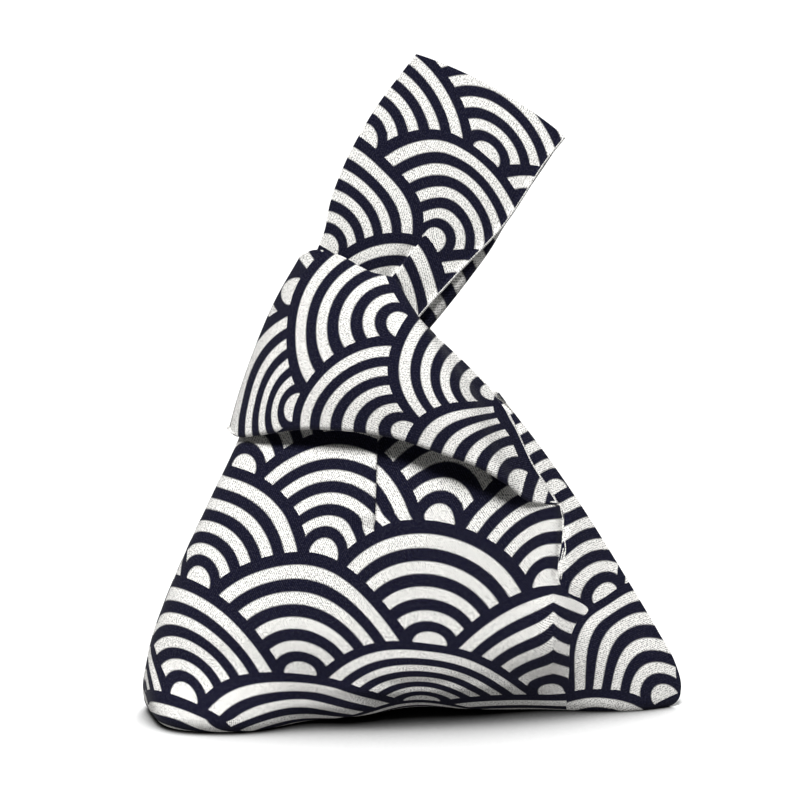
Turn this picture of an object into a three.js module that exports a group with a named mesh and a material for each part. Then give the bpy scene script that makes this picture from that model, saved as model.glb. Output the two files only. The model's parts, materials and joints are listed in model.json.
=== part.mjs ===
// Japanese knot bag, closed: the long loop is drawn through the short loop, which makes the collar.
// Millimetres, +Z up, +X to the right as worn in front, -Y towards the viewer.
import * as THREE from 'three';

// Cloth
const OUTER_CLOTH = 1.0;
const LINING_CLOTH = 0.8;
const SEAM_CLOTH = 0.8;
const LAYER_GAP = 0.3;
const PANEL_GAP = 0.3;

// Sack
const BASE_LEFT = 99;
const BASE_RIGHT = 102;
const BASE_DEPTH = 63;
const BASE_TAPER = 0.25;
const BASE_SET_BACK = 4;
const LEFT_TURN = 7;
const RIGHT_TURN = 2;
const LEFT_END_TURN = 17;
const FOOT_RADIUS = 6;
const FOOT_SWELL = 20;
const FOOT_SWELL_X = 8;
const FOOT_SWELL_REACH = 36;
const LEFT_DENT_X = -40;
const LEFT_DENT_REACH = 14;
const LEFT_DENT_DEPTH = 5;
const RIGHT_DENT_X = 50;
const RIGHT_DENT_REACH = 26;
const RIGHT_DENT_DEPTH = 6.5;
const DENT_FADE = 35;
const BASE_ARCH = 2.5;
const ARCH_SHARE = 0.6;
const ARCH_FADE = 40;
const SEAM_END_SHARE = 0.25;
const BULGE_LEFT = 7;
const BULGE_RIGHT = 8.8;
const BULGE_LOWNESS = 0.65;
const NECK_LOW = 46;
const NECK_HIGH = 110;
const MOUTH_HEIGHT = 120;
const MOUTH_LEFT = 60;
const MOUTH_RIGHT = 35;
const MOUTH_DEPTH = 27;
const SLIT_BOTTOM = 48;
const SLIT_WIDTH = 5;
const SLIT_FADE = 14;
const SEAM_START = 6;
const SEAM_HALF_WIDTH_SHARE = 0.45;

// Short loop, the collar
const COLLAR_LOW_LEFT = 110;
const COLLAR_LOW_RIGHT = 84;
const COLLAR_LOW_RISE = 16;
const COLLAR_PUFF = 13;
const COLLAR_CLEARANCE = 0.4;

// Long loop, the wrist strap
const STRAP_LEAN = 30;
const RIM_X = -15;
const RIM_Z = 163;
const THROAT_WIDTH = 50;
const THROAT_TAIL = 34;
const TAIL_WIDTH = 44;
const THROAT_RIM_CLEARANCE = 3.5;
const KNUCKLE_RADIUS = 4.2;
const KNUCKLE_CHAMFER = 1.2;
const KNUCKLE_RISE = 1.5;
const LOOP_LENGTH = 80;
const LOOP_WIDTH = 63;
const LOOP_FLARE_LENGTH = 30;
const LOOP_OPENING = 3;
const END_SEAM_LENGTH = 9;

// Outline of a section: its left end is boxed at the base, oval at the mouth and flat at the rim.
// Its right end is a sharp edge, where the panels lie flat on each other, and is like the left one above.
const BASE_SQUARE = 5;
const MOUTH_SQUARE = 2.2;
const RIM_SQUARE = 5;
const BOX_HEIGHT = 45;
const EDGE_SHARPNESS = 0.9;
const EDGE_LOW = 70;
const EDGE_HIGH = 125;
const EDGE_INSET = 2;

// Facets
const SECTION_STEPS = 16;
const WALL_STEPS = 8;
const FOOT_STEPS = 3;
const BASE_STEPS = 3;
const COLLAR_STEPS = 5;
const LOOP_STEPS_ACROSS = 4;
const LOOP_STEPS_ALONG = 10;
const THROAT_STEPS_ALONG = 4;
const KNUCKLE_STEPS = 16;

const { lerp, degToRad, smoothstep, clamp } = THREE.MathUtils;
const bell = (x, reach) => Math.exp(-((x / reach) ** 2));

// Colours of the printed cotton and of its plain lining
const PRINT = { color: 0x2b2a49, roughness: 0.9, metalness: 0 };
const LINING = { color: 0xe6e2d8, roughness: 0.92, metalness: 0 };

// Where the strap leaves the collar, and the two ends of the collar's rim
const lean = degToRad(STRAP_LEAN);
const rimHalf = THROAT_WIDTH / 2 + THROAT_RIM_CLEARANCE;
const rimLeft = { x: RIM_X - rimHalf * Math.cos(lean), z: RIM_Z + rimHalf * Math.sin(lean) };
const rimRight = { x: RIM_X + rimHalf * Math.cos(lean), z: RIM_Z - rimHalf * Math.sin(lean) };
const rimHalfDepth = KNUCKLE_RADIUS;
const rimHeight = (x) => RIM_Z - (x - RIM_X) * Math.tan(lean);

// Distance of each layer inside the sack's outer face, and outside it on the collar
const sackSeam = OUTER_CLOTH + LAYER_GAP;
const sackLining = sackSeam + SEAM_CLOTH + LAYER_GAP;
const collarLining = -COLLAR_CLEARANCE;
const collarSeam = collarLining - LINING_CLOTH - LAYER_GAP;
const collarOuter = collarSeam - SEAM_CLOTH - LAYER_GAP;

// Level section of the bag at a height: its ends, half depth and outline, and how its base is turned.
function section(z) {
  const up = z / MOUTH_HEIGHT;
  const edge = 1 - smoothstep(z, EDGE_LOW, EDGE_HIGH);
  if (up <= 1) {
    const swell = Math.sin(Math.PI * up ** BULGE_LOWNESS);
    return {
      left: -lerp(BASE_LEFT, MOUTH_LEFT, up) - BULGE_LEFT * swell,
      right: lerp(BASE_RIGHT, MOUTH_RIGHT, up) + BULGE_RIGHT * swell,
      half: lerp(BASE_DEPTH, MOUTH_DEPTH, smoothstep(z, NECK_LOW, NECK_HIGH)) / 2,
      square: lerp(BASE_SQUARE, MOUTH_SQUARE, smoothstep(z, 0, BOX_HEIGHT)),
      edge,
      turned: 1 - up,
    };
  }
  const toLeft = (z - MOUTH_HEIGHT) / (rimLeft.z - MOUTH_HEIGHT);
  const toRight = (z - MOUTH_HEIGHT) / (rimRight.z - MOUTH_HEIGHT);
  return {
    left: lerp(-MOUTH_LEFT, rimLeft.x, toLeft),
    right: lerp(MOUTH_RIGHT, rimRight.x, toRight),
    half: lerp(MOUTH_DEPTH / 2, rimHalfDepth, clamp(toLeft, 0, 1)),
    square: lerp(MOUTH_SQUARE, RIM_SQUARE, clamp(toLeft, 0, 1)),
    edge,
    turned: 0,
  };
}

// Point round a section. around runs 0 at the left end to 1 at the right end, side -1 is the front.
// depth is measured inwards from the sack's outer face, flat pulls the point to the middle line.
function ringPoint(z, around, side, depth, flat = 0) {
  const s = section(z);
  const c = -Math.cos(Math.PI * around);
  const d = Math.sin(Math.PI * around);
  const edge = c > 0 ? s.edge : 0;
  const boxed = (Math.abs(c) ** s.square + d ** s.square) ** (-1 / s.square);
  const half = (s.right - s.left) / 2 - depth * lerp(1, EDGE_INSET, edge);
  const along = c * lerp(boxed, 1, edge) * half * (1 - SEAM_END_SHARE * flat);
  const thin = 1 - BASE_TAPER * s.turned * around;
  const out = side * d * lerp(boxed, d ** EDGE_SHARPNESS, edge) * (s.half - depth) * thin * (1 - flat);
  const turn = degToRad(lerp(LEFT_TURN, RIGHT_TURN, smoothstep(around, 0.3, 0.7))) * s.turned;
  const endTurn = degToRad(lerp(LEFT_END_TURN, RIGHT_TURN, smoothstep(around, 0, 0.5))) * s.turned;
  const x = (s.left + s.right) / 2 + along - out * Math.sin(endTurn);
  const y = BASE_SET_BACK * s.turned + along * Math.sin(turn) + out * Math.cos(endTurn);
  return new THREE.Vector3(x, y, z);
}

// Half the space between front and back: a seam, or the slit above the right side seam.
function parting(around, z) {
  const open = smoothstep(around, 0.7, 1) * smoothstep(z, SLIT_BOTTOM, SLIT_BOTTOM + SLIT_FADE);
  return lerp(PANEL_GAP, SLIT_WIDTH, open) / 2;
}

// The foot is tight at the ends of the base and soft in its middle.
function footRadius(around) {
  const x = -Math.cos(Math.PI * around) * BASE_RIGHT;
  return FOOT_RADIUS + FOOT_SWELL * bell(x - FOOT_SWELL_X, FOOT_SWELL_REACH);
}

// The front is hollow low down, on each side of its round middle.
function frontDent(x, z) {
  const left = LEFT_DENT_DEPTH * bell(x - LEFT_DENT_X, LEFT_DENT_REACH);
  const right = RIGHT_DENT_DEPTH * bell(x - RIGHT_DENT_X, RIGHT_DENT_REACH);
  return (left + right) * (1 - smoothstep(z, 0, DENT_FADE));
}

// Rows of the sack from the mouth down the wall, round the foot and under to the base seam.
function sackRow(row, depth, foot) {
  if (row <= WALL_STEPS) {
    return { z: lerp(MOUTH_HEIGHT, foot, row / WALL_STEPS), inset: depth, lift: 0, flat: 0 };
  }
  const footRow = row - WALL_STEPS;
  if (footRow <= FOOT_STEPS) {
    const angle = (Math.PI / 2) * (footRow / FOOT_STEPS);
    const radius = foot - depth;
    const inset = foot - radius * Math.cos(angle);
    return { z: foot, inset, lift: -radius * Math.sin(angle), flat: 0 };
  }
  const flat = (footRow - FOOT_STEPS) / BASE_STEPS;
  return { z: foot, inset: foot, lift: depth - foot, flat };
}

// The base is hollow in the middle, so the bag stands on its two ends.
function archLift(x, aboveFoot) {
  const reach = clamp(Math.abs(x) / (ARCH_SHARE * BASE_LEFT), 0, 1);
  const fade = clamp(1 - aboveFoot / ARCH_FADE, 0, 1);
  return BASE_ARCH * Math.cos((Math.PI / 2) * reach) ** 2 * fade;
}

function sackPoint(around, row, side, depth) {
  const foot = footRadius(around);
  const r = sackRow(row, depth, foot);
  const p = ringPoint(r.z, around, side, r.inset, r.flat);
  if (side < 0) p.y += frontDent(p.x, r.z + r.lift) * Math.sin(Math.PI * around) * (1 - r.flat);
  p.z = r.z + r.lift + archLift(p.x, r.z - foot);
  return p;
}

// Rim height on the collar at one place round the section, where the slanted rim plane cuts it.
function collarTop(around, side, depth) {
  let low = MOUTH_HEIGHT;
  let high = rimLeft.z + KNUCKLE_RADIUS;
  for (let i = 0; i < 40; i += 1) {
    const z = (low + high) / 2;
    if (z < rimHeight(ringPoint(z, around, side, depth).x)) low = z;
    else high = z;
  }
  return low;
}

function collarPoint(around, up, side, depth) {
  const bow = Math.sin(Math.PI * around);
  const foot = lerp(COLLAR_LOW_LEFT, COLLAR_LOW_RIGHT, around) + COLLAR_LOW_RISE * bow;
  const z = lerp(foot, collarTop(around, side, depth), up);
  const p = ringPoint(z, around, side, depth);
  p.y += side * COLLAR_PUFF * bow * bow * (1 - up ** 3);
  return p;
}

// Closed sheet between an outer and an inner grid of points.
function sheet(acrossSteps, alongSteps, pointAt) {
  const positions = [];
  const index = [];
  const columns = acrossSteps + 1;
  const rows = alongSteps + 1;
  const id = (i, j, face) => (face * rows + j) * columns + i;
  const quad = (a, b, c, d) => index.push(a, b, c, a, c, d);
  for (let face = 0; face < 2; face += 1) {
    for (let j = 0; j < rows; j += 1) {
      for (let i = 0; i < columns; i += 1) {
        positions.push(...pointAt(i / acrossSteps, j / alongSteps, face));
      }
    }
  }
  for (let j = 0; j < alongSteps; j += 1) {
    for (let i = 0; i < acrossSteps; i += 1) {
      quad(id(i, j, 0), id(i + 1, j, 0), id(i + 1, j + 1, 0), id(i, j + 1, 0));
      quad(id(i, j, 1), id(i, j + 1, 1), id(i + 1, j + 1, 1), id(i + 1, j, 1));
    }
    quad(id(0, j, 0), id(0, j + 1, 0), id(0, j + 1, 1), id(0, j, 1));
    const e = acrossSteps;
    quad(id(e, j, 0), id(e, j, 1), id(e, j + 1, 1), id(e, j + 1, 0));
  }
  for (let i = 0; i < acrossSteps; i += 1) {
    quad(id(i, 0, 0), id(i, 0, 1), id(i + 1, 0, 1), id(i + 1, 0, 0));
    const e = alongSteps;
    quad(id(i, e, 0), id(i + 1, e, 0), id(i + 1, e, 1), id(i, e, 1));
  }
  const geometry = new THREE.BufferGeometry();
  geometry.setAttribute('position', new THREE.Float32BufferAttribute(positions, 3));
  geometry.setIndex(index);
  return faceOutwards(geometry);
}

// Turns every triangle round where the closed surface came out inside out.
function faceOutwards(geometry) {
  const position = geometry.getAttribute('position');
  const index = geometry.getIndex();
  const corner = (k) => new THREE.Vector3().fromBufferAttribute(position, index.getX(k));
  let volume = 0;
  for (let k = 0; k < index.count; k += 3) {
    volume += corner(k).dot(corner(k + 1).cross(corner(k + 2)));
  }
  if (volume < 0) {
    for (let k = 0; k < index.count; k += 3) {
      const second = index.getX(k + 1);
      index.setX(k + 1, index.getX(k + 2));
      index.setX(k + 2, second);
    }
  }
  geometry.computeVertexNormals();
  return geometry;
}

function piece(name, geometry, look) {
  const mesh = new THREE.Mesh(geometry, new THREE.MeshStandardMaterial(look));
  mesh.name = name;
  return mesh;
}

const bag = new THREE.Group();
const sides = { front: -1, back: 1 };

// Sack: one printed panel and one lining panel each side, from the mouth to the base seam.
const sackRows = WALL_STEPS + FOOT_STEPS + BASE_STEPS;
function sackPanel(side, depth, cloth) {
  return sheet(SECTION_STEPS, sackRows, (u, v, face) => {
    const p = sackPoint(u, v * sackRows, side, depth + face * cloth);
    p.y += side * parting(u, p.z);
    return p;
  });
}

// Seam allowances pressed open behind the printed panels.
function sideSeam(end, fromRow) {
  const rows = WALL_STEPS + FOOT_STEPS - fromRow;
  return sheet(2, rows, (u, v, face) => {
    const turn = Math.round(2 * u) - 1;
    const around = Math.abs(end - Math.abs(turn) / SECTION_STEPS);
    return sackPoint(around, fromRow + v * rows, turn, sackSeam + face * SEAM_CLOTH);
  });
}

function baseSeam() {
  const columns = SECTION_STEPS - 4;
  return sheet(columns, 2, (u, v, face) => {
    const around = (2 + u * columns) / SECTION_STEPS;
    const turn = Math.round(2 * v) - 1;
    const row = sackRows - Math.abs(turn) * SEAM_HALF_WIDTH_SHARE * BASE_STEPS;
    return sackPoint(around, row, turn, sackSeam + face * SEAM_CLOTH);
  });
}

for (const [name, side] of Object.entries(sides)) {
  bag.add(piece(`${name}_panel`, sackPanel(side, 0, OUTER_CLOTH), PRINT));
  bag.add(piece(`${name}_lining`, sackPanel(side, sackLining, LINING_CLOTH), LINING));
}
const slitRow = Math.ceil(WALL_STEPS * (MOUTH_HEIGHT - SLIT_BOTTOM) / (MOUTH_HEIGHT - FOOT_RADIUS));
const topRow = Math.ceil(WALL_STEPS * SEAM_START / (MOUTH_HEIGHT - FOOT_RADIUS));
bag.add(piece('left_side_seam', sideSeam(0, topRow), PRINT));
bag.add(piece('right_side_seam', sideSeam(1, slitRow), PRINT));
bag.add(piece('base_seam', baseSeam(), PRINT));

// Short loop: front and back strap from the right side of the sack round to their end seam.
function collarStrap(side, depth, cloth) {
  return sheet(SECTION_STEPS, COLLAR_STEPS, (u, v, face) => {
    const p = collarPoint(u, v, side, depth - cloth + face * cloth);
    p.y += side * parting(u, p.z);
    return p;
  });
}

function collarEndSeam() {
  return sheet(2, COLLAR_STEPS, (u, v, face) => {
    const turn = Math.round(2 * u) - 1;
    const depth = collarSeam - SEAM_CLOTH + face * SEAM_CLOTH;
    return collarPoint(Math.abs(turn) / SECTION_STEPS, v, turn, depth);
  });
}

for (const [name, side] of Object.entries(sides)) {
  bag.add(piece(`short_loop_${name}`, collarStrap(side, collarOuter, OUTER_CLOTH), PRINT));
  const lining = collarStrap(side, collarLining, LINING_CLOTH);
  bag.add(piece(`short_loop_${name}_lining`, lining, LINING));
}
bag.add(piece('short_loop_end_seam', collarEndSeam(), PRINT));

// Long loop, in its own frame: X across the strap, Z along it, origin on the knuckle's axis.
const strap = new THREE.Group();
const knuckleLift = KNUCKLE_RADIUS + LAYER_GAP + KNUCKLE_RISE;
strap.position.set(RIM_X + knuckleLift * Math.sin(lean), 0, RIM_Z + knuckleLift * Math.cos(lean));
strap.rotation.y = lean;
bag.add(strap);

// Throat: the strap's root inside the collar, two printed layers over two lining layers.
const throatTop = -KNUCKLE_RADIUS - LAYER_GAP;
function throatLayer(side, face0, cloth) {
  return sheet(LOOP_STEPS_ACROSS, THROAT_STEPS_ALONG, (u, v, face) => {
    const width = lerp(THROAT_WIDTH, TAIL_WIDTH, v);
    const y = side * (KNUCKLE_RADIUS - face0 - face * cloth);
    return new THREE.Vector3((u - 0.5) * width, y, throatTop - v * THROAT_TAIL);
  });
}

// Wrist loop: the two straps part in the middle and close on the end seam.
const loopFoot = KNUCKLE_RADIUS + LAYER_GAP;
const endHalf = SEAM_CLOTH / 2 + LAYER_GAP + OUTER_CLOTH;
function loopLayer(side, face0, cloth, top) {
  return sheet(LOOP_STEPS_ACROSS, LOOP_STEPS_ALONG, (u, v, face) => {
    const z = lerp(loopFoot, top, v);
    const share = (z - loopFoot) / (LOOP_LENGTH - loopFoot);
    const flare = smoothstep(z, loopFoot, loopFoot + LOOP_FLARE_LENGTH);
    const width = lerp(THROAT_WIDTH, LOOP_WIDTH, flare);
    const out = lerp(KNUCKLE_RADIUS, endHalf, share) + LOOP_OPENING * Math.sin(Math.PI * share);
    return new THREE.Vector3((u - 0.5) * width, side * (out - face0 - face * cloth), z);
  });
}

const liningFace = OUTER_CLOTH + LAYER_GAP;
const liningTop = LOOP_LENGTH - END_SEAM_LENGTH - LAYER_GAP;
for (const [name, side] of Object.entries(sides)) {
  strap.add(piece(`throat_${name}`, throatLayer(side, 0, OUTER_CLOTH), PRINT));
  strap.add(piece(`throat_${name}_lining`, throatLayer(side, liningFace, LINING_CLOTH), LINING));
  strap.add(piece(`long_loop_${name}`, loopLayer(side, 0, OUTER_CLOTH, LOOP_LENGTH), PRINT));
  const lining = loopLayer(side, liningFace, LINING_CLOTH, liningTop);
  strap.add(piece(`long_loop_${name}_lining`, lining, LINING));
}
const endSeam = new THREE.BoxGeometry(LOOP_WIDTH, SEAM_CLOTH, END_SEAM_LENGTH);
endSeam.translate(0, 0, LOOP_LENGTH - END_SEAM_LENGTH / 2);
strap.add(piece('long_loop_end_seam', endSeam, PRINT));

// Knuckle: the gathered layers that turn over the collar's rim.
const knuckleHalf = THROAT_WIDTH / 2;
const knuckleProfile = [
  new THREE.Vector2(0, -knuckleHalf),
  new THREE.Vector2(KNUCKLE_RADIUS - KNUCKLE_CHAMFER, -knuckleHalf),
  new THREE.Vector2(KNUCKLE_RADIUS, KNUCKLE_CHAMFER - knuckleHalf),
  new THREE.Vector2(KNUCKLE_RADIUS, knuckleHalf - KNUCKLE_CHAMFER),
  new THREE.Vector2(KNUCKLE_RADIUS - KNUCKLE_CHAMFER, knuckleHalf),
  new THREE.Vector2(0, knuckleHalf),
];
const knuckle = new THREE.LatheGeometry(knuckleProfile, KNUCKLE_STEPS);
knuckle.rotateZ(-Math.PI / 2);
strap.add(piece('long_loop_knuckle', knuckle, PRINT));

// The origin is the middle of the footprint, on the surface that the bag stands on.
const extent = new THREE.Box3().setFromObject(bag);
const middle = extent.getCenter(new THREE.Vector3());
bag.position.set(-middle.x, -middle.y, -extent.min.z);

export default bag;
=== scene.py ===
import json
import math

import bpy
import numpy as np
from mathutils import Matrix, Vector


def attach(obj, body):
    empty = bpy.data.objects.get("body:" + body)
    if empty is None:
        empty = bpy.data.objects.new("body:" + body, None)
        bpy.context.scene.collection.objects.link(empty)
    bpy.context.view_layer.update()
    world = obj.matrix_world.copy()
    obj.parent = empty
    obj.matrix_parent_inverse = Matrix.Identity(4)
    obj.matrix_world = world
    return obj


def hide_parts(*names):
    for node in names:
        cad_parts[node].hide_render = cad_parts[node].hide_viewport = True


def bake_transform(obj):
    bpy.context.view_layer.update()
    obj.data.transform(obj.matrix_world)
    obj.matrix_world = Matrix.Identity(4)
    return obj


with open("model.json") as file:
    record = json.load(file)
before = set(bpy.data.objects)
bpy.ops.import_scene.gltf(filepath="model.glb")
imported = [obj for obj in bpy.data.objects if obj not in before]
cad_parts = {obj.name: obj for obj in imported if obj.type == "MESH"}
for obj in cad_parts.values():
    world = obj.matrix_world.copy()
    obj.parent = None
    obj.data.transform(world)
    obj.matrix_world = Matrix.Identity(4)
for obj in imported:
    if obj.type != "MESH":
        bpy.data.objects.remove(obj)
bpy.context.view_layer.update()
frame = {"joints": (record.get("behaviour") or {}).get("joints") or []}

MM = 0.001

# Frame: shapes are written in millimetres from a point below the strap, in the strap's plane.
HINGE = next(np.array(j["pos_m"]) / MM for j in frame["joints"] if j["name"] == "loop_flop")
HINGE_FROM_ORIGIN = np.array([-11.8, 0.0, 168.2])
ORIGIN = HINGE - HINGE_FROM_ORIGIN

# Camera, as the photograph was taken
IMAGE = 800
SENSOR = 36.0
ELEVATION = math.radians(11)
DISTANCE = 1200.0
PX_PER_MM = 2.675
TARGET = np.array([-4.5, 0.0, 121.1])
FOCAL_PX = PX_PER_MM * DISTANCE
COS_DOWN, SIN_DOWN = math.cos(ELEVATION), math.sin(ELEVATION)
CLIP = (0.01, 50.0)

# Print: overlapping rows of scales; lengths are shares of a scale's radius
WAVE_RADIUS = 46.0
ROW_STEP, SCALE_STEP = 0.5, 2.0
WHITE_RINGS = ((0.23, 0.32), (0.42, 0.51), (0.61, 0.70), (0.80, 0.90))
CENTRE_DOT = 0.13
DOT_MIDDLE = CENTRE_DOT / 2
RING_EDGE = 0.006
PRINT_STIFFNESS = 4.0


def project(p):
    """Photo pixels at which points show."""
    rel = np.asarray(p, float) - TARGET
    depth = DISTANCE + rel[..., 1] * COS_DOWN - rel[..., 2] * SIN_DOWN
    up = rel[..., 1] * SIN_DOWN + rel[..., 2] * COS_DOWN
    x = IMAGE / 2 + FOCAL_PX * rel[..., 0] / depth
    y = IMAGE / 2 - FOCAL_PX * up / depth
    return np.stack([x, y], -1)


def unproject(seen):
    """Points that show at photo pixels and lie at a depth, from rows of pixel x, pixel y, depth."""
    seen = np.asarray(seen, float)
    right = (seen[..., 0] - IMAGE / 2) / FOCAL_PX
    up = (IMAGE / 2 - seen[..., 1]) / FOCAL_PX
    y = seen[..., 2] - TARGET[1]
    z = (up * (DISTANCE + y * COS_DOWN) - y * SIN_DOWN) / (COS_DOWN + up * SIN_DOWN)
    depth = DISTANCE + y * COS_DOWN - z * SIN_DOWN
    return np.stack([right * depth, y, z], -1) + TARGET


# Curves and surfaces
SPLINE_STEPS = 40
TINY = 1e-9


def smooth(x, low, high):
    """Smooth step from 0 at low to 1 at high."""
    t = np.clip((np.asarray(x, float) - low) / (high - low), 0, 1)
    return t * t * (3 - 2 * t)


def lerp(a, b, t):
    """Value at share t of the way from a to b."""
    return a + (b - a) * t


def bell(x, width):
    """Bell curve of height 1."""
    return np.exp(-(np.asarray(x, float) / width) ** 2)


def swell(x, height, width):
    """Bell curve of a given height."""
    return height * bell(x, width)


def through(points, x):
    """Smooth function through points of x and value."""
    p = np.array(points, float)
    slope = np.gradient(p[:, 1], p[:, 0])
    x = np.clip(np.asarray(x, float), p[0, 0], p[-1, 0])
    i = np.clip(np.searchsorted(p[:, 0], x) - 1, 0, len(p) - 2)
    step = p[i + 1, 0] - p[i, 0]
    t = (x - p[i, 0]) / step
    rise = t * t * (3 - 2 * t)
    leaving = (t ** 3 - 2 * t ** 2 + t) * step * slope[i]
    arriving = (t ** 3 - t ** 2) * step * slope[i + 1]
    return lerp(p[i, 1], p[i + 1, 1], rise) + leaving + arriving


def run_length(path):
    """Length in the picture plane from the first point of a path to each of its points."""
    steps = np.linalg.norm(np.diff(path[:, :2], axis=0), axis=1)
    return np.concatenate([[0], np.cumsum(steps)])


def spline(points, count):
    """Points on a smooth curve through the given ones, evenly spaced along it."""
    p = np.array(points, float)
    knots = run_length(p)
    fine = np.linspace(0, knots[-1], SPLINE_STEPS * len(p))
    path = np.stack([through(np.stack([knots, values], -1), fine) for values in p.T], -1)
    along = run_length(path)
    even = np.linspace(0, along[-1], count)
    return np.stack([np.interp(even, along, values) for values in path.T], -1)


def patch(bottom, top, left, right):
    """Grid of points between four edges that share their corners, rows from bottom to top."""
    u = np.linspace(0, 1, len(bottom))[None, :, None]
    v = np.linspace(0, 1, len(left))[:, None, None]
    low, high = bottom[None], top[None]
    corners = lerp(lerp(low[:, :1], low[:, -1:], u), lerp(high[:, :1], high[:, -1:], u), v)
    return lerp(low, high, v) + lerp(left[:, None], right[:, None], u) - corners


def lengths(grid):
    """Lengths along each row from its middle, and down each column from its first row."""
    across = np.linalg.norm(np.diff(grid, axis=1), axis=2)
    s = np.pad(np.cumsum(across, axis=1), ((0, 0), (1, 0)))
    s -= s[:, s.shape[1] // 2][:, None]
    along = np.linalg.norm(np.diff(grid, axis=0), axis=2)
    t = np.pad(np.cumsum(along, axis=0), ((1, 0), (0, 0)))
    return np.stack([s, t], -1)


# A mark is a photo pixel and the place on the print that shows there, less the middle of a dot.
def print_places(marks):
    """Places on the print that marks name, counted to the middle of the visible dot."""
    return [(u, v + DOT_MIDDLE) for _, _, u, v in marks]


def marked(grid, flat, marks):
    """Lengths of the grid points that show at marked pixels, and the places on the print there."""
    seen = project(grid).reshape(-1, 2)
    nearest = [((seen - mark[:2]) ** 2).sum(1).argmin() for mark in marks]
    return flat.reshape(-1, 2)[nearest], print_places(marks)


def pictured(marks):
    """Lengths across and down the picture plane at marked pixels, and the places on the print there."""
    return np.array(marks)[:, :2] / PX_PER_MM, print_places(marks)


def warp(source, target):
    """Smooth map of the plane that takes the source points close to the target points."""
    source, target = np.array(source, float), np.array(target, float)
    n = len(source)

    def kernel(a):
        r2 = ((a[:, None] - source[None]) ** 2).sum(-1)
        return 0.5 * r2 * np.log(r2 + TINY)

    linear = np.hstack([np.ones((n, 1)), source])
    system = np.zeros((n + 3, n + 3))
    system[:n, :n] = kernel(source) + PRINT_STIFFNESS * np.eye(n)
    system[:n, n:] = linear
    system[n:, :n] = linear.T
    weights = np.linalg.solve(system, np.vstack([target, np.zeros((3, 2))]))

    def apply(p):
        flat = np.asarray(p, float).reshape(-1, 2)
        out = np.hstack([kernel(flat), np.ones((len(flat), 1)), flat]) @ weights
        return out.reshape(np.asarray(p).shape)

    return apply


# Materials: thread sizes in millimetres, and how far each kind of thread shows in the grain
THREAD, SLUB_LENGTH, SLUB_DETAIL, SLUB_SHARE = 0.45, 2.0, 2.0, 0.6
RIB_STEP, RIB_SHARE = 1.0, 0.22
NOISE_MEAN = 0.5
FIBRE, FIBRE_SHARE = 0.55, 1.2
GRAIN_SHADE, GRAIN_DARKEST, GRAIN_LIGHTEST = 2.0, 0.3, 1.13
GRAIN_BUMP, GRAIN_HEIGHT = 0.25, 0.3
RAGGED, FLECK = 0.004, 0.05
NAVY = (0.0038, 0.0040, 0.0185, 1)
OFF_WHITE = (0.885, 0.875, 0.845, 1)
COTTON = {"Roughness": 0.9, "Specular IOR Level": 0.12, "Sheen Weight": 0.03}


class Nodes:
    """Shorthand for building a node tree."""

    def __init__(self, tree):
        self.tree = tree

    def add(self, kind, inputs=(), **settings):
        n = self.tree.nodes.new(kind)
        for key, value in settings.items():
            setattr(n, key, value)
        for key, value in dict(inputs).items():
            if isinstance(value, bpy.types.NodeSocket):
                self.tree.links.new(value, n.inputs[key])
            else:
                n.inputs[key].default_value = value
        return n

    def maths(self, operation, *values):
        return self.add("ShaderNodeMath", enumerate(values), operation=operation).outputs[0]

    def attribute(self, name, output="Vector"):
        return self.add("ShaderNodeAttribute", attribute_name=name).outputs[output]

    def vector(self, x, y, z=0.0):
        return self.add("ShaderNodeCombineXYZ", {0: x, 1: y, 2: z}).outputs[0]

    def clamp(self, value, low=0.0, high=1.0):
        return self.add("ShaderNodeClamp", {0: value, 1: low, 2: high}).outputs[0]

    def noise(self, place, scale, detail):
        values = {"Vector": place, "Scale": scale, "Detail": detail}
        return self.add("ShaderNodeTexNoise", values).outputs["Fac"]

    def mix(self, share, a, b, blend="MIX"):
        values = {0: share, 6: a, 7: b}
        return self.add("ShaderNodeMix", values, data_type="RGBA", blend_type=blend).outputs[2]

    def mix_places(self, share, a, b):
        values = {0: share, 4: a, 5: b}
        return self.add("ShaderNodeMix", values, data_type="VECTOR").outputs[1]


def new_material(name):
    """Empty material, and the shorthand for its nodes."""
    material = bpy.data.materials.new(name)
    material.use_nodes = True
    material.node_tree.nodes.clear()
    return material, Nodes(material.node_tree)


def wave_scales(n, u, v):
    """White share of the print: overlapping rows of scales, each with its rings."""
    row_below = n.maths("FLOOR", n.maths("MULTIPLY", v, 1 / ROW_STEP))
    nearest_ring, taken = None, None
    for step in (-1.0, 0.0, 1.0):
        row = n.maths("ADD", row_below, step)
        dv = n.maths("MULTIPLY_ADD", row, -ROW_STEP, v)
        shifted = n.maths("SUBTRACT", u, n.maths("FLOORED_MODULO", row, 2.0))
        steps = n.maths("ROUND", n.maths("MULTIPLY", shifted, 1 / SCALE_STEP))
        centre = n.maths("MULTIPLY", steps, SCALE_STEP)
        du = n.maths("SUBTRACT", shifted, centre)
        ring = n.maths("SQRT", n.maths("MULTIPLY_ADD", du, du, n.maths("MULTIPLY", dv, dv)))
        inside = n.maths("LESS_THAN", ring, 1.0)
        if taken is None:
            nearest_ring, taken = ring, inside
        else:
            free = n.maths("SUBTRACT", 1.0, taken)
            nearest_ring = n.maths("MULTIPLY_ADD", nearest_ring, taken, n.maths("MULTIPLY", ring, free))
            taken = n.maths("MAXIMUM", taken, inside)
    return rings(n, nearest_ring)


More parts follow.
